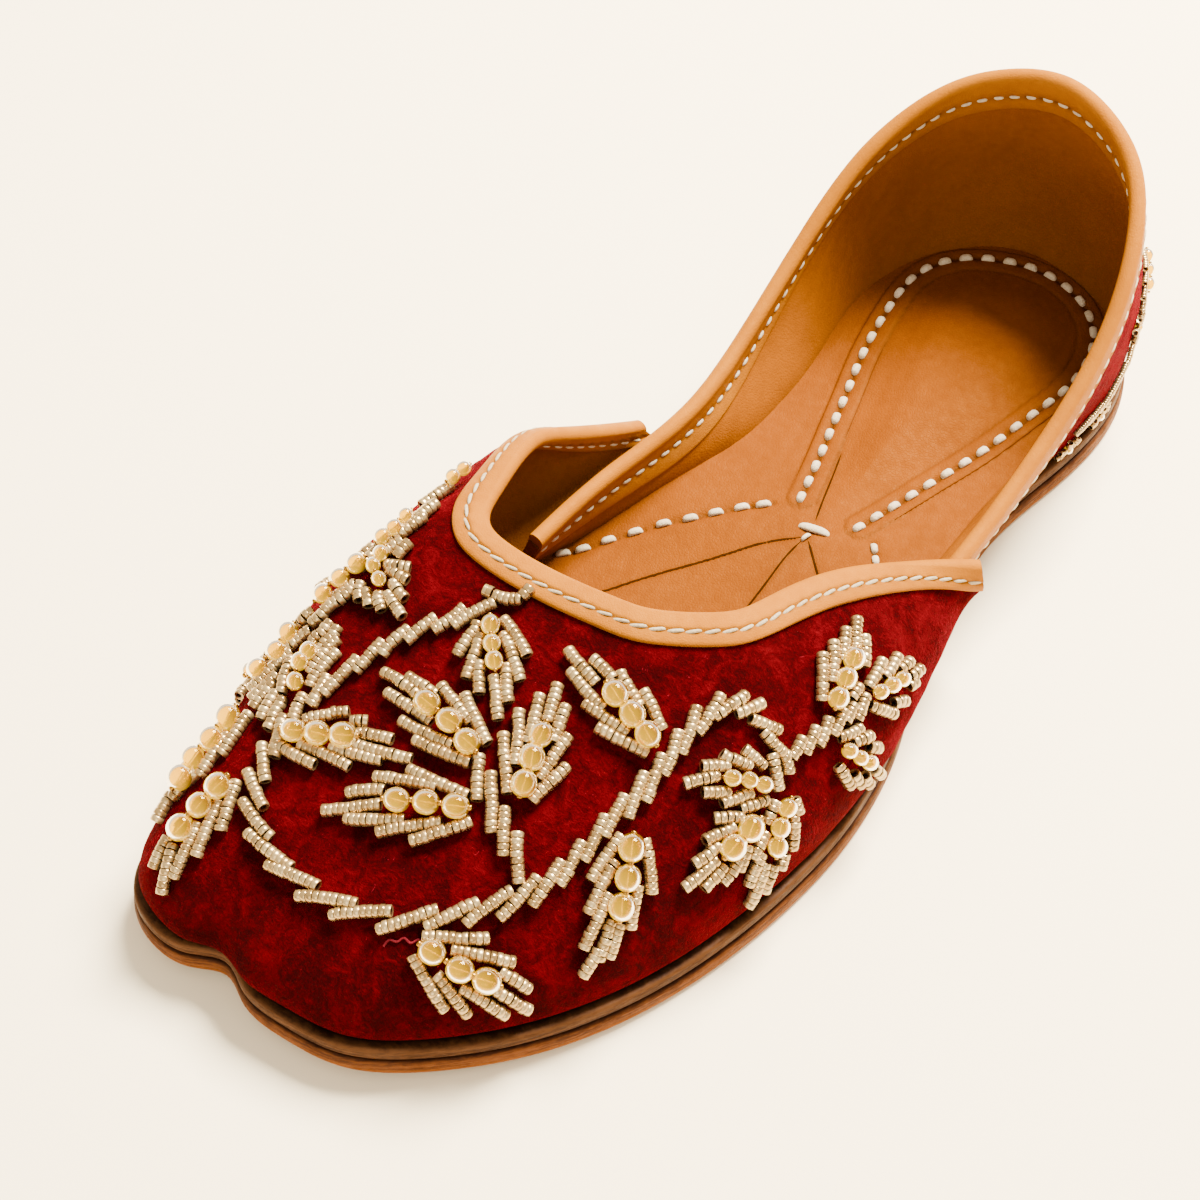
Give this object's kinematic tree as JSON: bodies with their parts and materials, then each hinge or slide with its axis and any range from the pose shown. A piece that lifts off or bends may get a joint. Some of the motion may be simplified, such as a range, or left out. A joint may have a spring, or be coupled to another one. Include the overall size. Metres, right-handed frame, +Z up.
{
  "type": "mojari shoe",
  "caption": "Left flat mojari shoe with a notched toe, a hollow velvet upper worked in bead leaves, bound edges, leather sole and padded insole.",
  "frame": {"origin": "on the floor, under the middle of the shoe's box", "axes": "+Y toward the heel, +X toward the outer side of the left foot, +Z up; the floor is at zero"},
  "size_m": [0.1034, 0.2516, 0.0663],
  "materials": {
    "outsole_leather": "dark brown, burnished orange at its lower edge",
    "midsole_leather": "mid brown cut edge, matt",
    "insole_leather": "orange tan, soft sheen",
    "velvet": "crimson velvet pile",
    "lining_leather": "orange tan, matt",
    "binding_leather": "light tan, satin",
    "seed_beads": "silver champagne seed beads, glossy",
    "amber_beads": "clear amber, faceted",
    "gold_beads": "tiny gold beads",
    "thread": "off white waxed thread"
  },
  "bodies": {
    "root": {"outsole": "outsole_leather", "midsole": "midsole_leather", "insole": "insole_leather", "upper": "velvet", "vamp_binding": "binding_leather", "quarter_binding": "binding_leather"}
  },
  "joints": []
}
